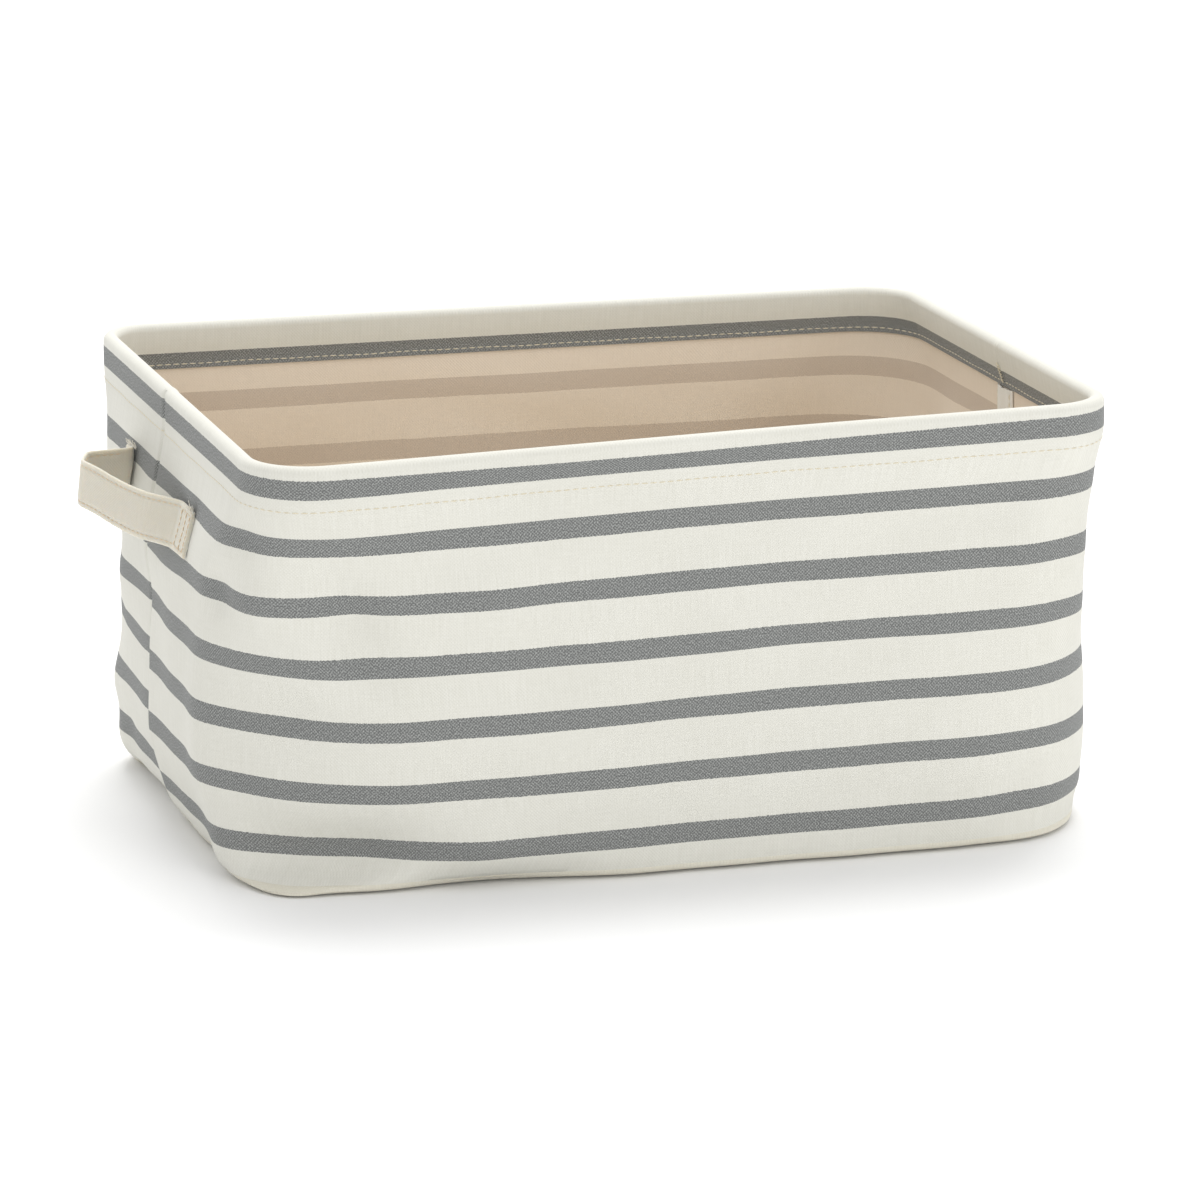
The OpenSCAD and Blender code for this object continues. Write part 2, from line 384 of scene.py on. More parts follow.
def way_along(path):
    """Distance from a path's first point to each of its points."""
    return np.concatenate([[0], np.cumsum(np.linalg.norm(np.diff(path, axis=0), axis=1))])


def stitch_row(path, lift, pitch=4.0, length=3.1, radius=0.32):
    """Paths and radii of a row of stitches. lift is the direction away from the cloth at each point."""
    way = way_along(path)
    count = max(1, int(way[-1] / pitch))
    pitch = way[-1] / count
    share = np.linspace(0, 1, 5)
    arch = np.sin(share * math.pi)
    paths = []
    for number in range(count):
        at = (number + 0.5) * pitch + (share - 0.5) * length
        point = np.stack([np.interp(at, way, path[:, axis]) for axis in range(3)], -1)
        away = np.stack([np.interp(at, way, lift[:, axis]) for axis in range(3)], -1)
        paths.append(point + away * (arch[:, None] * 0.45 - 0.3) * radius)
    return paths, [radius * (0.45 + 0.55 * arch)] * count


def stitches(name, rows, material):
    """One object of several rows of stitches."""
    paths = [path for row in rows for path in row[0]]
    radii = [radius for row in rows for radius in row[1]]
    return tubes(name, paths, radii, material)


# ---- materials ----

def add(tree, kind, inputs=None, **settings):
    """A node with its settings made, and its inputs set or linked."""
    made = tree.nodes.new(kind)
    for name, value in settings.items():
        setattr(made, name, value)
    for name, value in (inputs or {}).items():
        if isinstance(value, bpy.types.NodeSocket):
            tree.links.new(value, made.inputs[name])
        else:
            made.inputs[name].default_value = value
    return made


def maths(tree, operation, *values):
    inputs = dict(enumerate(values))
    return add(tree, "ShaderNodeMath", inputs, operation=operation).outputs[0]


def blend_colour(tree, share, first, second):
    made = add(tree, "ShaderNodeMix", {0: share, 6: first, 7: second}, data_type="RGBA")
    return made.outputs[2]


def rgb(red, green, blue):
    return (red, green, blue, 1.0)


def noise(tree, vector, scale, detail=2.0):
    made = add(tree, "ShaderNodeTexNoise", {"Vector": vector, "Scale": scale, "Detail": detail})
    return made.outputs["Fac"]


def stretched(tree, vector, along, up):
    """The cloth's coordinates, scaled by different amounts along and up the cloth."""
    made = add(tree, "ShaderNodeVectorMath", {0: vector, 1: (along, up, 1.0)}, operation="MULTIPLY")
    return made.outputs[0]


def new_material(name, roughness, sheen=0.0, metallic=0.0, specular=0.25):
    """A material, its node tree and its principled shader."""
    material = bpy.data.materials.new(name)
    material.use_nodes = True
    tree = material.node_tree
    tree.nodes.clear()
    shader = add(tree, "ShaderNodeBsdfPrincipled", {
        "Roughness": roughness,
        "Metallic": metallic,
        "Specular IOR Level": specular,
        "Sheen Weight": sheen,
        "Sheen Roughness": 0.5,
    })
    output = add(tree, "ShaderNodeOutputMaterial", {"Surface": shader.outputs[0]})
    output.is_active_output = True
    return material, tree, shader


def weave_parts(tree, yarn):
    """Cloth coordinates, height on the cloth, and relief of a plain weave with yarns this thick."""
    uv = add(tree, "ShaderNodeUVMap", uv_map="cloth").outputs[0]
    split = add(tree, "ShaderNodeSeparateXYZ", {0: uv})
    turns = math.pi / (yarn * MM)
    wander = maths(tree, "MULTIPLY", noise(tree, uv, 160.0), 0.9)
    across = maths(tree, "SINE", maths(tree, "MULTIPLY_ADD", split.outputs[0], turns, wander))
    down = maths(tree, "SINE", maths(tree, "MULTIPLY_ADD", split.outputs[1], turns, wander))
    weave = maths(tree, "MULTIPLY", across, down)
    return uv, split.outputs[1], weave


def set_bump(tree, shader, height, strength, distance):
    inputs = {"Height": height, "Strength": strength, "Distance": distance * MM}
    bump = add(tree, "ShaderNodeBump", inputs)
    tree.links.new(bump.outputs[0], shader.inputs["Normal"])


def canvas(name, ground, stripe=None, yarn=0.78, stripe_share=1.0, mottle=0.5, translucent=0.0):
    """Plain woven cotton with slubs, with or without stripes woven into it.

    ground and stripe are pairs of colours, the darker one first."""
    material, tree, shader = new_material(name, roughness=0.93, sheen=0.12, specular=0.12)
    shader.inputs["Subsurface Weight"].default_value = translucent
    shader.inputs["Subsurface Scale"].default_value = 3.0 * MM
    shader.inputs["Subsurface Radius"].default_value = (1.0, 0.85, 0.65)
    uv, up, weave = weave_parts(tree, yarn)

    # thick and thin places in the yarns that run up the cloth and along it
    slubs = noise(tree, stretched(tree, uv, 1500.0, 60.0), 1.0, 3.0)
    cross_slubs = noise(tree, stretched(tree, uv, 70.0, 1400.0), 1.0, 3.0)
    yarns = maths(tree, "MULTIPLY_ADD", cross_slubs, 0.35, maths(tree, "MULTIPLY", slubs, 0.65))
    cloudy = noise(tree, uv, 14.0, 3.0)
    tone = maths(tree, "MULTIPLY_ADD", cloudy, mottle, maths(tree, "MULTIPLY_ADD", yarns, 1.3, -0.4))
    # painted shade: the weave's relief also makes the ground colour darker in the hollows between the
    # yarns and lighter on their crests
    tone = maths(tree, "MULTIPLY_ADD", weave, 0.16, tone)
    colour = blend_colour(tree, tone, rgb(*ground[0]), rgb(*ground[1]))
    if stripe:
        ragged = maths(tree, "MULTIPLY_ADD", slubs, 1.1 * MM, -0.55 * MM)
        shifted = maths(tree, "ADD", maths(tree, "SUBTRACT", up, STRIPE_TOP * MM), ragged)
        from_middle = maths(tree, "PINGPONG", shifted, STRIPE_PITCH / 2 * MM)
        inside = maths(tree, "LESS_THAN", from_middle, STRIPE_WIDTH / 2 * MM)
        speck = noise(tree, stretched(tree, uv, 1500.0, 1300.0), 1.0, 1.0)
        speckle = maths(tree, "MULTIPLY_ADD", speck, 2.6, -1.0)
        speckle = maths(tree, "MULTIPLY_ADD", weave, 0.5, speckle)
        dyed = blend_colour(tree, speckle, rgb(*stripe[0]), rgb(*stripe[1]))
        colour = blend_colour(tree, maths(tree, "MULTIPLY", inside, stripe_share), colour, dyed)
    tree.links.new(colour, shader.inputs["Base Color"])
    height = maths(tree, "MULTIPLY_ADD", yarns, 0.9, maths(tree, "MULTIPLY", weave, 0.5))
    set_bump(tree, shader, height, strength=0.3, distance=0.22)
    return material


def thread(name, dark, light):
    """Twisted sewing thread."""
    twist_length = 0.8 * MM
    material, tree, shader = new_material(name, roughness=0.75, sheen=0.2)
    uv = add(tree, "ShaderNodeUVMap", uv_map="cloth").outputs[0]
    split = add(tree, "ShaderNodeSeparateXYZ", {0: uv})
    turn = maths(tree, "MULTIPLY", split.outputs[1], math.pi / MM)
    spiral = maths(tree, "MULTIPLY_ADD", split.outputs[0], 2 * math.pi / twist_length, turn)
    twist = maths(tree, "SINE", spiral)
    share = maths(tree, "MULTIPLY_ADD", twist, 0.3, 0.6)
    tree.links.new(blend_colour(tree, share, rgb(*dark), rgb(*light)), shader.inputs["Base Color"])
    set_bump(tree, shader, twist, strength=0.4, distance=0.1)
    return material


def metal(name, colour, roughness):
    """Drawn wire: bright, with fine scratches."""
    material, tree, shader = new_material(name, roughness=roughness, metallic=1.0, specular=0.5)
    uv = add(tree, "ShaderNodeUVMap", uv_map="cloth").outputs[0]
    scratch = noise(tree, stretched(tree, uv, 60.0, 2500.0), 1.0, 4.0)
    dark = tuple(0.7 * part for part in colour)
    tree.links.new(blend_colour(tree, scratch, rgb(*dark), rgb(*colour)), shader.inputs["Base Color"])
    set_bump(tree, shader, scratch, strength=0.2, distance=0.05)
    return material


# Colours, as linear red, green and blue, in pairs of a darker and a lighter one.
CREAM = (0.625, 0.615, 0.55), (0.745, 0.738, 0.683)
GREY = (0.145, 0.149, 0.146), (0.37, 0.378, 0.366)
PEACH = (0.73, 0.63, 0.51), (0.80, 0.70, 0.585)
PEACH_STRIPE = (0.44, 0.355, 0.285), (0.52, 0.43, 0.35)
BASE_CREAM = (0.63, 0.60, 0.505), (0.73, 0.705, 0.61)
STRAP_CREAM = (0.56, 0.53, 0.44), (0.68, 0.65, 0.57)
TAPE_WHITE = (0.70, 0.68, 0.62), (0.84, 0.82, 0.77)

STRIPED = canvas("striped_canvas", CREAM, GREY)
LINING = canvas("coated_lining", PEACH, PEACH_STRIPE, stripe_share=0.6)
BASE = canvas("base_canvas", BASE_CREAM)
STRAP = canvas("strap_canvas", STRAP_CREAM, yarn=0.7, translucent=0.7)
TAPE = canvas("seam_tape", TAPE_WHITE, yarn=0.5)
CREAM_THREAD = thread("cream_thread", (0.55, 0.48, 0.34), (0.80, 0.74, 0.58))
RAW_YARN = thread("raw_yarn", (0.62, 0.58, 0.50), (0.82, 0.79, 0.71))
TAN_THREAD = thread("tan_thread", (0.58, 0.45, 0.29), (0.74, 0.60, 0.42))
WIRE = metal("drawn_steel", (0.62, 0.62, 0.62), roughness=0.3)
SLEEVE = metal("crimp_steel", (0.45, 0.45, 0.46), roughness=0.42)


# ---- pieces of the bin ----

def cloth_pieces(name, places, section, materials, slots, crease=0.0):
    """A piece of cloth swept round part of the bin.

    The section is a ring of (height, depth, height on the cloth). crease is how
    far the hem's inner layer dips towards the outer one at the side seams."""
    section = np.array(section, float)
    depth = section[None, :, 1] * np.ones((len(places), 1))
    dip = crease * np.exp(-(seam_distance(places) / 1.1) ** 2)
    inner_layer = depth > CLOTH + 0.05
    depth = depth - dip[:, None] * inner_layer
    rings = cloth_point(places[:, None], section[None, :, 0], depth)
    uv = np.zeros(rings.shape[:2] + (2,))
    uv[..., 0] = places[:, None] * PERIMETER
    uv[..., 1] = section[None, :, 2] - slip(places[:, None], section[None, :, 0])
    uv[..., 1] += rolled(places[:, None], section[None, :, 2])
    return sweep(name, rings, uv, materials, slots)


def half_round(start, count):
    """Places from one side seam to the other, closer together at the seams."""
    crowding = 0.7
    share = np.linspace(0, 1, count)
    return start + 0.5 * (share - crowding * np.sin(2 * math.pi * share) / (2 * math.pi))


def base_groove(height):
    """How far the wall is drawn in by its seam with the bottom."""
    return 0.3 * math.exp(-((height - BASE_SEAM_Z) / 1.0) ** 2)


def wall(name, start):
    """Wall from one side seam to the other. Its top is a thin tongue inside the hem."""
    back = WALL_DEPTH + CLOTH
    heights = np.linspace(BASE_SEAM_Z, HEM_Z, 72)
    outer = [(h, WALL_DEPTH + base_groove(h), h) for h in heights]
    top = HEM_Z + TONGUE
    tongue = [(HEM_Z + 0.05, CLOTH, HEM_Z), (top, CLOTH, top), (top, back, top)]
    inner = [(h, back + base_groove(h), h) for h in heights[::-1]]
    section = outer + tongue + inner
    slots = [0] * (len(outer) + len(tongue)) + [1] * len(inner)
    return cloth_pieces(name, half_round(start, 330), section, [STRIPED, LINING], slots)


def roll(radius, angle):
    """Height and depth of a point on the hem's round roll, from its outer side over the top."""
    return WIRE_Z + radius * math.sin(angle), ROLL_R - radius * math.cos(angle)


def hem(name, start):
    """Cloth folded over the wire: outer layer, roll and inner flap, all with the face side out."""
    down = np.linspace(HEM_Z, WIRE_Z, 9)
    turn = np.linspace(0, math.pi, 15)
    flap = [(HEM_ROW_Z + rise, depth) for rise, depth in zip(FLAP_RISE, FLAP_DEPTHS)][::-1]
    flap += [(HEM_ROW_Z - 1.2, FLAP_DEPTHS[0] + 0.25), (HEM_Z, FLAP_DEPTHS[0] + 0.1)]
    core = ROLL_R - CLOTH
    section = [(h, 0, h) for h in down]
    section += [(*roll(ROLL_R, angle), RIM_Z - ROLL_R * math.cos(angle)) for angle in turn]
    section += [(h, depth, 2 * RIM_Z - h) for h, depth in flap]
    section += [(h, depth - CLOTH, 2 * RIM_Z - h) for h, depth in flap[::-1]]
    section += [(*roll(core, angle), RIM_Z) for angle in turn[::-1]]
    section += [(h, CLOTH, h) for h in down[::-1]]
    return cloth_pieces(name, half_round(start, 360), section, [STRIPED], [0] * len(section), crease=1.0)


def bottom():
    """Bottom cloth: flat on the floor, and turned up at its edge to meet the walls."""
    places = np.linspace(0, 1, 400, endpoint=False)
    turned = [(BASE_SEAM_Z, 0.4), (3.5, 0.2), (2.2, 0.7), (1.2, 2.4), (0.5, 5.4), (0.0, 10.0)]
    edge = [cloth_point(places, height, depth) for height, depth in turned]
    flat = [edge[-1] * np.array([share, share, 1]) for share in (0.97, 0.9, 0.75, 0.5, 0.25, 0.02)]
    under = edge + flat
    upper_inset = 2.5
    shrink = np.array([1 - upper_inset / HALF_W, 1 - upper_inset / HALF_W, 1])
    over = [ring * shrink + np.array([0, 0, CLOTH]) for ring in under]
    over[0] = edge[0] * shrink
    rings = np.array(under[::-1] + over)
    uv = rings[..., :2].copy()
    return sweep("bottom_cloth", rings, uv, [BASE])


def side_tape(name, place):
    """Cotton tape up the inside of a side seam, humped over the allowances."""
    across = np.linspace(-TAPE_HALF, TAPE_HALF, 15)
    hump = CLOTH * smooth_step((TAPE_HALF - np.abs(across)) / 3)
    heights = np.linspace(9, HEM_Z - 0.5, 60)
    under = TAPE_DEPTH + CLOTH + hump
    ring_across = np.concatenate([across, across[::-1]])
    ring_depth = np.concatenate([under, (under + TAPE_T)[::-1]])
    rings = cloth_point(place + ring_across[None] / PERIMETER, heights[:, None], ring_depth[None])
    uv = np.stack(np.broadcast_arrays(ring_across[None], heights[:, None]), -1).astype(float)
    return sweep(name, rings, uv, [TAPE])


def side_stitches(name, place):
    """Two rows of stitches up a side tape."""
    heights = np.linspace(11, HEM_Z - 2, 60)
    offset = TAPE_HALF - 2
    rows = []
    for spot in (place - offset / PERIMETER, place + offset / PERIMETER):
        row = cloth_point(spot, heights, 2 * CLOTH + TAPE_T)
        into = np.stack([*inward(np.full_like(heights, spot), heights), 0 * heights], -1)
        rows.append(stitch_row(row, into, pitch=3.6, length=2.8))
    return stitches(name, rows, CREAM_THREAD)


# Ring of the tape on the floor of the bin: height, and depth from the wall's outer face.
BOTTOM_TAPE = [
    (3.2, 2.6), (3.4, 6), (3.1, 11), (2.3, 15.5), (1.3, 17), (1.0, 16.5), (2.0, 14), (2.6, 9), (2.6, 4),
]
BOTTOM_TAPE_WALL_Z = 6      # the tape follows the wall's outline at this height


def bottom_tape():
    """Tape round the floor of the bin, over the turned-in allowances."""
    places = np.linspace(0, 1, 400, endpoint=False)
    rings = np.array([cloth_point(places, BOTTOM_TAPE_WALL_Z, depth) for _, depth in BOTTOM_TAPE])
    rings[..., 2] = np.array([level for level, _ in BOTTOM_TAPE])[:, None]
    rings = np.moveaxis(rings, 0, 1)
    uv = np.zeros(rings.shape[:2] + (2,))
    uv[..., 0] = places[:, None] * PERIMETER
    uv[..., 1] = np.arange(len(BOTTOM_TAPE))[None] * 2.5
    return sweep("bottom_seam_cover", rings, uv, [TAPE], closed=True)


def bottom_stitches():
    """Row of stitches along the tape on the floor."""
    depth, level = 7, 3.45
    places = np.linspace(0, 1, 400)
    row = cloth_point(places, BOTTOM_TAPE_WALL_Z, depth)
    row[:, 2] = level
    upward = np.tile([0, 0, 1.0], (len(places), 1))
    return stitches("bottom_seam_stitches", [stitch_row(row, upward)], CREAM_THREAD)


def rim_ring():
    """Steel wire inside the roll, open in the middle of the back."""
    sides = 12
    gap = 0.5 / PERIMETER
    places = 0.75 + gap + np.linspace(0, 1 - 2 * gap, 500)
    path = cloth_point(places, WIRE_Z, ROLL_R)
    rings = tube_rings(path, np.full(len(path), WIRE_R), sides)
    uv = np.zeros(rings.shape[:2] + (2,))
    uv[..., 0] = (places * PERIMETER)[:, None]
    uv[..., 1] = np.arange(sides)[None]
    return sweep("rim_ring", rings, uv, [WIRE])


def ring_sleeve():
    """Sleeve over the wire's ends, with two crimps."""
    sides = 16
    along = np.linspace(-SLEEVE_HALF, SLEEVE_HALF, 31)
    path = cloth_point(0.75 + along / PERIMETER, WIRE_Z, ROLL_R)
    crimp = 0.06 * np.exp(-((np.abs(along) - SLEEVE_HALF / 2) / 2.5) ** 2)
    outer = tube_rings(path, SLEEVE_R * (1 - crimp), sides)
    inner = tube_rings(path, np.full(len(path), WIRE_R + 0.05), sides)
    rings = np.concatenate([outer, inner[::-1]])
    uv = np.zeros(rings.shape[:2] + (2,))
    uv[..., 0] = np.arange(len(rings))[:, None]
    uv[..., 1] = np.arange(sides)[None]
    return sweep("ring_sleeve", rings, uv, [SLEEVE], closed=True)


def hem_stitches(name, depth, away):
    """Stitches round the hem. away is 1 for the row inside the bin and -1 for the one outside."""
    places = np.linspace(0, 1, 700)
    wobble = 0.25 * np.sin(places * 150) * np.sin(places * 61)
    row = cloth_point(places, HEM_ROW_Z + wobble, depth)
    nx, ny = inward(places, np.full_like(places, HEM_ROW_Z))
    lift = away * np.stack([nx, ny, 0 * nx], -1)
    rows = [stitch_row(row, lift, pitch=4.0, length=3.0, radius=0.3)]
    if away > 0:
        rows.append(seam_tacks())
    return stitches(name, rows, CREAM_THREAD)


def seam_tacks():
    """Short stitches across the side seams, where the inner layer of the hem is joined."""
    half_length, slope, proud, radius = 1.3, 0.3, 0.15, 0.26
    across = np.linspace(-half_length, half_length, 7)
    paths = []
    for place in (0.0, 0.5):
        for rise in np.linspace(1.5, 8.5, 6):
            depth = np.interp(rise, FLAP_RISE, FLAP_DEPTHS) + proud
            paths.append(cloth_point(place + across / PERIMETER, HEM_ROW_Z + rise + slope * across, depth))
    return paths, [np.full(len(across), radius)] * len(paths)


# ---- handles ----

# Plan of the strap's middle line: along the end of the bin and out from it.
STRAP_PLAN = [(-STRAP_HALF_LENGTH, 0), (-38, 0), (-20, 10), (8, 21), (30, 29), (46, 23), (53, 0), (63, 0)]
STRAP_ROUNDING = [0, 9, 14, 30, 11, 9, 4, 0]

# How much higher than its sewn level the strap runs, at places along the end.
STRAP_LIFT = np.array([
    (-56, -2.3), (-20, -1.1), (0, 0.6), (30, 4.3), (45, 5.0), (53, 3.2), (63, 2.6),
], float)


def rounded_path(points, radii, step=1.0):
    """A line through the points with its corners rounded, as points a step apart."""
    points = np.array(points, float)
    line = [points[0]]
    for i in range(1, len(points) - 1):
        before = points[i - 1] - points[i]
        after = points[i + 1] - points[i]
        reach_before, reach_after = np.linalg.norm(before), np.linalg.norm(after)
        before /= reach_before
        after /= reach_after
        half = math.acos(np.clip(before @ after, -1, 1)) / 2
        cut = min(radii[i] / math.tan(half), 0.48 * reach_before, 0.48 * reach_after)
        a, b = points[i] + before * cut, points[i] + after * cut
        for t in np.linspace(0, 1, 12):
            line.append(a * (1 - t) ** 2 + 2 * points[i] * t * (1 - t) + b * t ** 2)
    line.append(points[-1])
    line = np.array(line)
    way = way_along(line)
    even = np.linspace(0, way[-1], int(way[-1] / step) + 1)
    return even, np.stack([np.interp(even, way, line[:, axis]) for axis in range(2)], -1)


def end_face(side, y, z):
    """X of the wall's outer face on the left (-1) or right (1) end, at given y and one z."""
    reach = 0.06
    places = (0.5 if side > 0 else 0.0) + np.linspace(-reach, reach, 160)
    points = cloth_point(places, np.full_like(places, z))
    order = np.argsort(points[:, 1])
    return np.interp(y, points[order, 1], points[order, 0])


def wall_behind(side, along, z):
    """X of the wall under the sewn ends, and of a straight line between them under the loop."""
    past = 2
    near_end = np.linspace(STRAP_PLAN[0][0] - past, STRAP_PLAN[1][0], 12)
    far_end = np.linspace(STRAP_PLAN[-2][0], STRAP_PLAN[-1][0] + past, 8)
    held = np.concatenate([near_end, far_end])
    return np.interp(along, held, end_face(side, side * -held, z))


def strap_line(side):
    """Way along the strap's middle line, and the line's plan, outward normals and sag."""
    way, plan = rounded_path(STRAP_PLAN, STRAP_ROUNDING)
    ahead = np.gradient(plan, axis=0)
    ahead /= np.linalg.norm(ahead, axis=1)[:, None]
    normal = np.stack([-ahead[:, 1], ahead[:, 0]], -1)
    sag = 0.35 * np.sin(way / 9.0 + side)
    return way, (plan, normal, sag)


def strap_point(side, line, up, out):
    """Points of the strap, some way up from its middle line and out from its middle layer."""
    plan, normal, sag = line
    y = side * -plan[:, 0] + side * -normal[:, 0] * out
    stand = plan[:, 1] + normal[:, 1] * out + STRAP_T / 2 + STRAP_GAP
    lean = 1 - 0.5 * smooth_step(plan[:, 1] / 25)
    wall_x = wall_behind(side, -side * y, STRAP_Z)
    tilt = wall_behind(side, -side * y, STRAP_Z + up) - wall_x
    lift = smooth_curve(plan[:, 0], STRAP_LIFT[:, 0], STRAP_LIFT[:, 1:])[:, 0]
    return np.stack([wall_x + tilt * lean + side * stand, y, STRAP_Z + up + lift + sag], -1)


def strap_section():
    """Ring of (up, out) across the band, thinner along its two rows of stitches."""
    half = STRAP_WIDTH / 2
    level = half * np.sin(np.linspace(-math.pi / 2, math.pi / 2, 27))
    thick = STRAP_T / 2 * np.sqrt(np.clip(1 - (np.abs(level) / half) ** 10, 0, 1))
    thick -= 0.28 * np.exp(-((np.abs(level) - half + STRAP_ROW_INSET) / 0.8) ** 2)
    outer = list(zip(level, thick))
    inner = list(zip(level[-2:0:-1], -thick[-2:0:-1]))
    return outer + inner


def end_ridges(way):
    """Ridges that the rows of stitches raise across the strap's sewn ends."""
    height, spacing, sewn_length = 0.22, 3.1, 15.5
    from_end = np.minimum(way, way[-1] - way)
    wave = np.sin((from_end - 1.5) * 2 * math.pi / spacing)
    return height * wave * smooth_step((sewn_length - from_end) / 2) * smooth_step(from_end / 1.5)


def strap(name, side):
    """Folded canvas band from one sewn end to the other, dimpled along its stitching."""
    way, line = strap_line(side)
    section = strap_section()
    ridges = end_ridges(way)
    rings = [strap_point(side, line, up, out + (ridges if out > 0 else 0)) for up, out in section]
    rings = np.moveaxis(np.array(rings), 0, 1)
    uv = np.zeros(rings.shape[:2] + (2,))
    uv[..., 0] = way[:, None]
    uv[..., 1] = np.array([up for up, _ in section])[None]
    return sweep(name, rings, uv, [STRAP])


def strap_edge_stitches(name, side):
    """Topstitching along both long edges, on the outer and the inner face of the loop."""
    way, line = strap_line(side)
    loop = (way > 16) & (way < way[-1] - 16)
    rows = []
    for edge in (-1, 1):
        for face in (-1, 1):
            up = edge * (STRAP_WIDTH / 2 - STRAP_ROW_INSET)
            surface = face * (STRAP_T / 2 - 0.28)
            row = strap_point(side, line, up, surface)
            away = strap_point(side, line, up, surface + face) - row
            rows.append(stitch_row(row[loop], away[loop], pitch=3.4, length=2.6, radius=0.26))
    return stitches(name, rows, TAN_THREAD)


def strap_end_stitches(name, side):
    """Three rows across each sewn end and one along each of its long edges."""
    way, line = strap_line(side)
    half = STRAP_WIDTH / 2 - STRAP_ROW_INSET
    outward = np.array([side * 1.0, 0, 0])
    rows = []
    for from_end in (way, way[-1] - way):
        for distance in (1.4, 7.0, 14.0):
            nearest = int(np.argmin(np.abs(from_end - distance)))
            spot = [part[nearest:nearest + 1] for part in line]
            levels = np.linspace(-half, half, 20)
            row = np.array([strap_point(side, spot, up, STRAP_T / 2 + 0.05)[0] for up in levels])
            away = np.tile(outward, (len(row), 1))
            rows.append(stitch_row(row, away, pitch=2.8, length=2.2, radius=0.3))
        sewn = (from_end > 2) & (from_end < 15)
        for edge in (-1, 1):
            row = strap_point(side, line, edge * half, STRAP_T / 2 - 0.2)[sewn]
            away = np.tile(outward, (len(row), 1))
            rows.append(stitch_row(row, away, pitch=3.0, length=2.4, radius=0.28))
    return stitches(name, rows, TAN_THREAD)


def frays(name, side):
    """Loose yarn ends at the upper corners of the sewn ends."""
    random = np.random.default_rng(SEED + side)
    yarns_per_end = 26
    spans = {-1: (50.5, 56), 1: (50, 62)}
    paths, radii = [], []
    for end, span in spans.items():
        for _ in range(yarns_per_end):
            along = end * random.uniform(*span)
            y = side * -along
            strap_lift = np.interp(along, STRAP_LIFT[:, 0], STRAP_LIFT[:, 1])
            z = STRAP_Z + (strap_lift + STRAP_WIDTH / 2 + random.uniform(-1.2, 0.2))
            root = np.array([end_face(side, np.array([y]), z)[0] + side * 1.4, y, z])
            reach_out = side * random.uniform(0.1, 1.6)
            reach_back = side * -end * random.uniform(-1.0, 3.5)
            reach = np.array([reach_out, reach_back, random.uniform(1.0, 4.2)])
            curl_out = side * random.uniform(-0.5, 1.2)
            curl = np.array([curl_out, random.uniform(-2, 2), random.uniform(-1.5, 0.6)])
            share = np.linspace(0, 1, 7)[:, None]
            paths.append(root + reach * share + curl * share ** 2)
            radii.append(random.uniform(0.14, 0.28) * (1 - 0.5 * share[:, 0]))
    return tubes(name, paths, radii, RAW_YARN, sides=5)


# ---- assembly ----

def settle(piece, body, slot_name, *nodes):
    """The piece rides on a body and stands for CAD nodes. slot_name is not used."""
    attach(piece, body)
    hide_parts(*nodes)
    return piece


def crumple(piece):
    """The piece gets its own copy of its mesh."""
    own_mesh(piece)


def build_bin():
    """Cloth, tapes, stitches and wire. The walls and what is sewn up them get their own meshes."""
    front_wall = settle(wall("front_wall", 0.0), "bin", "striped_canvas", "front_panel")
    back_wall = settle(wall("back_wall", 0.5), "bin", "striped_canvas", "back_panel")
    front_rim = settle(hem("front_rim_hem", 0.0), "rim", "striped_canvas", "front_hem")
    back_rim = settle(hem("back_rim_hem", 0.5), "rim", "striped_canvas", "back_hem")
    base = settle(bottom(), "bin", "base_canvas", "bottom_panel")
    left_tape = settle(side_tape("left_seam_cover", 0.0), "bin", "seam_tape", "left_seam_tape")
    right_tape = settle(side_tape("right_seam_cover", 0.5), "bin", "seam_tape", "right_seam_tape")
    base_tape = settle(bottom_tape(), "bin", "seam_tape", "bottom_seam_tape")
    left_rows = side_stitches("left_seam_stitches", 0.0)
    settle(left_rows, "bin", "cream_thread", "left_seam_thread")
    right_rows = side_stitches("right_seam_stitches", 0.5)
    settle(right_rows, "bin", "cream_thread", "right_seam_thread")
    settle(bottom_stitches(), "bin", "cream_thread", "bottom_seam_thread")
    settle(rim_ring(), "rim", "steel_wire", "rim_wire")
    settle(ring_sleeve(), "rim", "crimp_sleeve", "wire_ferrule")
    settle(hem_stitches("hem_stitches_outside", -0.02, -1), "rim", "cream_thread", "hem_thread")
    inside_row = hem_stitches("hem_stitches_inside", FLAP_DEPTHS[0] + 0.02, 1)
    settle(inside_row, "rim", "cream_thread", "hem_thread")
    for piece in (front_wall, back_wall, left_tape, right_tape, left_rows, right_rows):
        crumple(piece)


def build_handle(side):
    """Strap of the left (-1) or right (1) end, with its stitches and loose yarns; the end stitches and
    yarns ride on the end's root body.
    """
    label = "right" if side > 0 else "left"
    band = strap(label + "_strap", side)
    rows = strap_edge_stitches(label + "_edge_stitches", side)
    face_x = abs(end_face(side, np.array([0.0]), STRAP_Z)[0])
    for piece in (band, rows):
        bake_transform(piece)
    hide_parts(label + "_strap_ends", label + "_strap_loop")
    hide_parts(label + "_loop_thread")
    end_rows = strap_end_stitches(label + "_end_stitches", side)
    settle(end_rows, label + "_root", "tan_thread", label + "_strap_stitches")
    loose = frays(label + "_frayed_yarns", side)
    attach(loose, label + "_root")


# ---- stage, light and camera ----

def build_stage():
    """White floor under the bin."""
    mesh = bpy.data.meshes.new("floor")
    reach = 14.0
    corners = [(-reach, -reach, 0), (reach, -reach, 0), (reach, reach, 0), (-reach, reach, 0)]
    mesh.from_pydata(corners, [], [(0, 1, 2, 3)])
    floor = bpy.data.objects.new("floor", mesh)
    bpy.context.scene.collection.objects.link(floor)
    floor.location.z = -0.0002
    material, _, shader = new_material("floor_white", roughness=0.9)
    shader.inputs["Base Color"].default_value = rgb(0.93, 0.93, 0.93)
    mesh.materials.append(material)


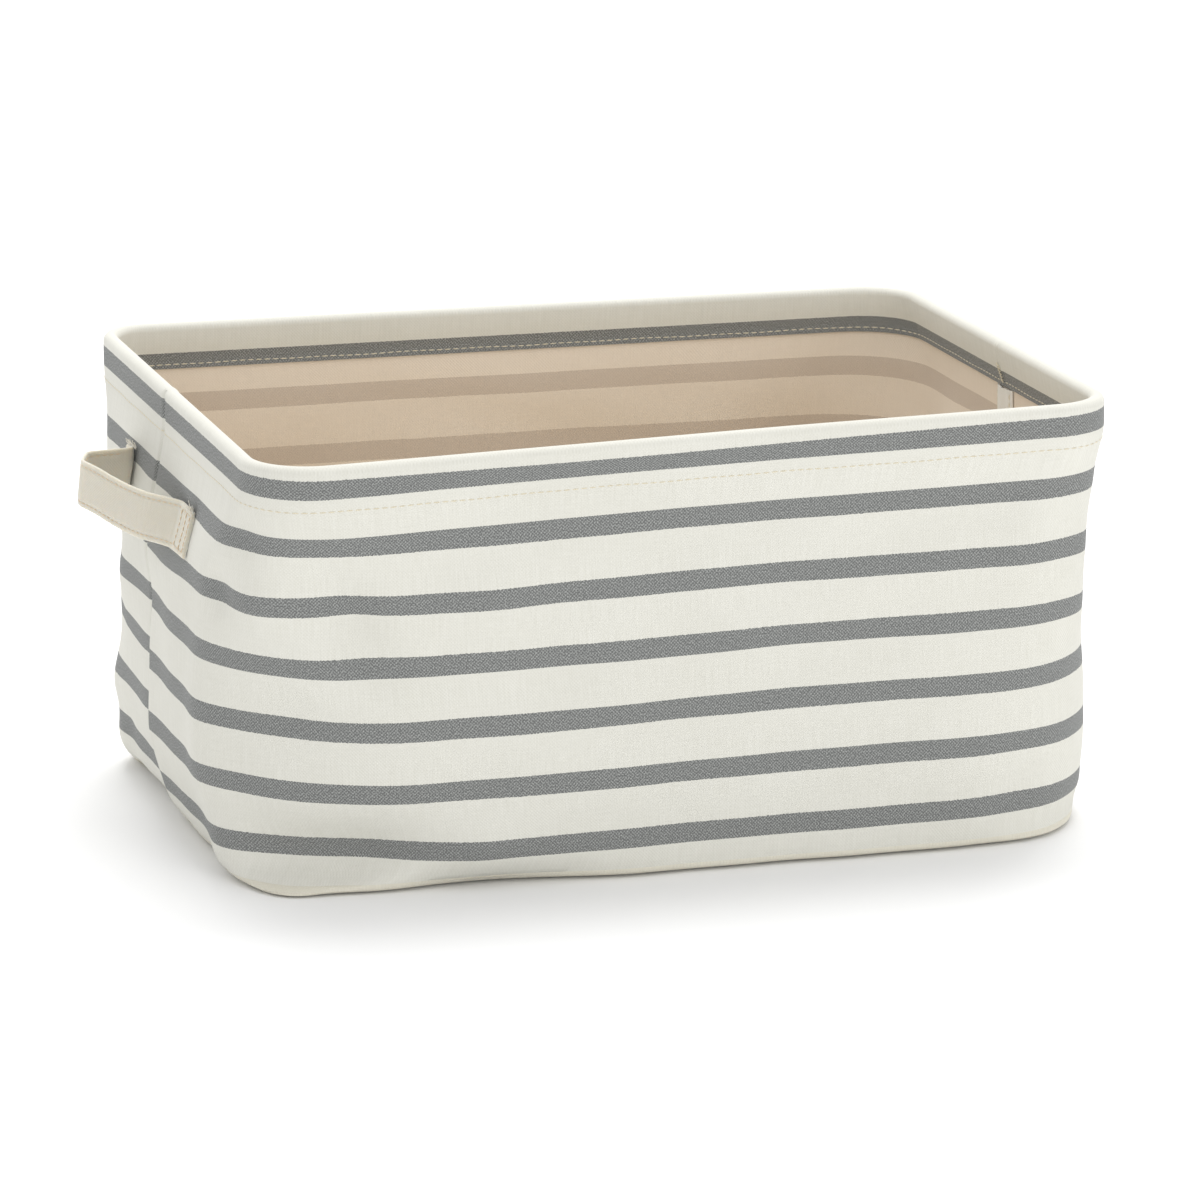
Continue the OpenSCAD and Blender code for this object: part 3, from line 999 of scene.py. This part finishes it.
def add_area(name, place, target, size, power):
    """A square soft light aimed at a point."""
    light = bpy.data.lights.new(name, "AREA")
    light.size = size
    light.energy = power
    lamp = bpy.data.objects.new(name, light)
    bpy.context.scene.collection.objects.link(lamp)
    back = np.array(place, float) - np.array(target, float)
    back /= np.linalg.norm(back)
    across = np.cross([0, 0, 1.0], back)
    across /= np.linalg.norm(across)
    upward = np.cross(back, across)
    turn = Matrix([list(row) for row in np.stack([across, upward, back], 1)])
    lamp.matrix_world = Matrix.Translation(place) @ turn.to_4x4()


def build_light():
    """White surroundings, a large lamp above and behind, and a smaller one in front."""
    world = bpy.data.worlds.new("studio")
    bpy.context.scene.world = world
    world.use_nodes = True
    sky = world.node_tree.nodes.get("Background") or world.node_tree.nodes.new("ShaderNodeBackground")
    sky.inputs["Color"].default_value = rgb(1.0, 1.0, 1.0)
    sky.inputs["Strength"].default_value = 0.86
    bin_middle = (0, 0, 0.1)
    add_area("top", (0.5, 1.3, 3.0), bin_middle, size=2.2, power=85)
    add_area("key", (0.9, -2.9, 0.55), bin_middle, size=1.6, power=19)
    bpy.context.scene.view_settings.view_transform = "Standard"


def build_camera():
    """Camera at the height and turn of the photograph, with a long lens."""
    yaw, rise, roll = (math.radians(angle) for angle in (-16.89, 13.77, -0.19))
    distance = 3.852
    back = np.array([math.sin(yaw) * math.cos(rise), -math.cos(yaw) * math.cos(rise), math.sin(rise)])
    level = np.cross(-back, [0, 0, 1.0])
    level /= np.linalg.norm(level)
    upright = np.cross(level, -back)
    right = level * math.cos(roll) + upright * math.sin(roll)
    up = upright * math.cos(roll) - level * math.sin(roll)
    bin_middle = np.array([0, 0, 0.1])
    left_of_middle, below_middle = 0.00335, 0.0047
    aim = bin_middle - left_of_middle * right - below_middle * up
    place = aim + back * distance
    data = bpy.data.cameras.new("camera")
    data.lens = 255.7
    data.sensor_width = 36.0
    data.clip_end = 60.0
    camera = bpy.data.objects.new("camera", data)
    bpy.context.scene.collection.objects.link(camera)
    turn = Matrix([list(row) for row in np.stack([right, up, back], 1)])
    camera.matrix_world = Matrix.Translation(place.tolist()) @ turn.to_4x4()
    bpy.context.scene.camera = camera


build_camera()
build_bin()
for handle_side in (-1, 1):
    build_handle(handle_side)
build_stage()
build_light()
